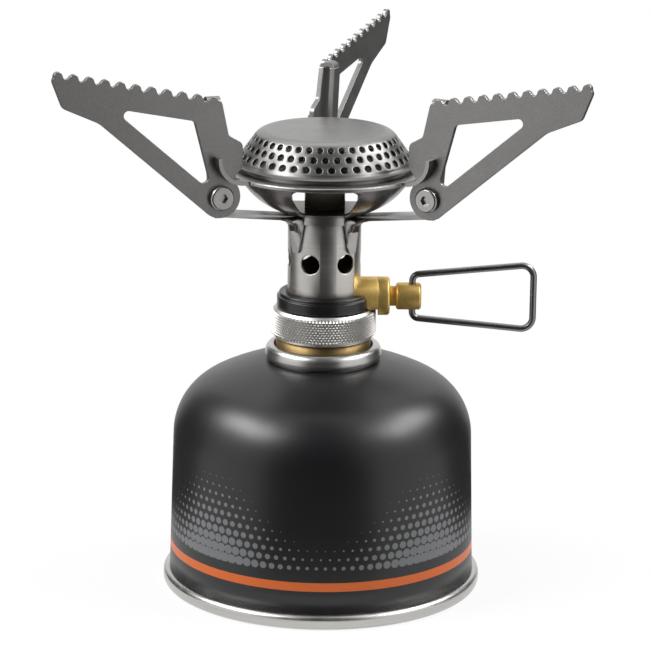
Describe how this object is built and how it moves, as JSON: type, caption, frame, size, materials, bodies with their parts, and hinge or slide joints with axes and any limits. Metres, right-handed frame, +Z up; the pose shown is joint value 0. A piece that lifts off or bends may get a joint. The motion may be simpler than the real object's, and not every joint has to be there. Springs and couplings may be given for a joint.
{
  "type": "backpacking stove",
  "caption": "Backpacking gas stove on a squat threaded fuel canister, with a perforated burner cap, folding toothed pot arms and a wire-handled needle valve.",
  "frame": {"origin": "centre of the canister's foot, on the surface that it stands on", "axes": "+Z up along the canister's axis, +X towards the valve's wire handle, -Y towards the front"},
  "size_m": [0.1751, 0.1525, 0.1871],
  "materials": {
    "canister_paint": "satin black lacquer with a plain orange stripe",
    "tin_steel": "bare satin tinplate",
    "brass": "turned brass",
    "seal_rubber": "matte",
    "valve_plastic": "moulded",
    "spring_steel": "drawn wire",
    "knurled_steel": "bright diamond knurl",
    "collar_black": "satin black",
    "tube_steel": "brushed",
    "bracket_steel": "satin",
    "tinted_steel": "heat-tinted",
    "cap_steel": "satin, pressed",
    "fastener_steel": "bright",
    "wire_steel": "bright drawn wire",
    "arm_steel": "satin, blanked sheet"
  },
  "bodies": {
    "canister": {"canister_shell": "canister_paint", "canister_base": "tin_steel", "valve_cup": "tin_steel", "threaded_nipple": "brass", "valve_gasket": "seal_rubber", "valve_housing": "valve_plastic", "valve_spring": "spring_steel"},
    "canister_stem": {"valve_stem": "valve_plastic"},
    "coupling": {"brass_insert": "brass", "knurled_ring": "knurled_steel"},
    "stove": {"valve_body": "brass", "canister_seal": "seal_rubber", "depressor_pin": "brass", "jet": "brass", "packing_ring": "seal_rubber", "gland_nut": "brass", "heat_collar": "collar_black", "mixing_tube": "tube_steel", "support_bracket": "bracket_steel", "burner_column": "tinted_steel", "burner_bowl": "tinted_steel", "burner_plate": "tinted_steel", "flame_diffuser": "tinted_steel", "burner_cap": "cap_steel", "pivot_screws": "fastener_steel", "pivot_washers": "fastener_steel", "pivot_nuts": "fastener_steel"},
    "spindle": {"valve_spindle": "brass"},
    "handle": {"wire_handle": "wire_steel"},
    "arm_right": {"pot_arm_right": "arm_steel"},
    "arm_rear": {"pot_arm_rear": "arm_steel"},
    "arm_left": {"pot_arm_left": "arm_steel"}
  },
  "joints": [
    {"name": "stove_lift", "type": "slide", "parent": "canister", "child": "stove", "axis": [0, 0, 1], "range_m": [0, 0.05]},
    {"name": "stem_rise", "type": "slide", "parent": "canister", "child": "canister_stem", "axis": [0, 0, 1], "range_m": [0, 0.001], "deforming": ["valve_spring"]},
    {"name": "coupling_turn", "type": "hinge", "parent": "stove", "child": "coupling", "pos_m": [0, 0, 0.093], "axis": [0, 0, 1], "continuous": true},
    {"name": "valve_turn", "type": "hinge", "parent": "stove", "child": "spindle", "pos_m": [0.02, 0, 0.10193], "axis": [1, 0, 0], "range_deg": [0, 720]},
    {"name": "handle_fold", "type": "hinge", "parent": "spindle", "child": "handle", "pos_m": [0.03025, 0, 0.10193], "axis": [0, 0, 1], "range_deg": [-90, 90]},
    {"name": "arm_right_fold", "type": "hinge", "parent": "stove", "child": "arm_right", "pos_m": [0.03585, -0.0207, 0.14113], "axis": [0.5, 0.866, 0], "range_deg": [0, 105]},
    {"name": "arm_rear_fold", "type": "hinge", "parent": "stove", "child": "arm_rear", "pos_m": [0, 0.0414, 0.14113], "axis": [-0.9135, 0.4067, 0], "range_deg": [0, 105]},
    {"name": "arm_left_fold", "type": "hinge", "parent": "stove", "child": "arm_left", "pos_m": [-0.03585, -0.0207, 0.14113], "axis": [0.3907, -0.9205, 0], "range_deg": [0, 105]}
  ],
  "couplings": [
    {"joint": "stem_rise", "follows": "stove_lift", "ratio": 0.019}
  ]
}
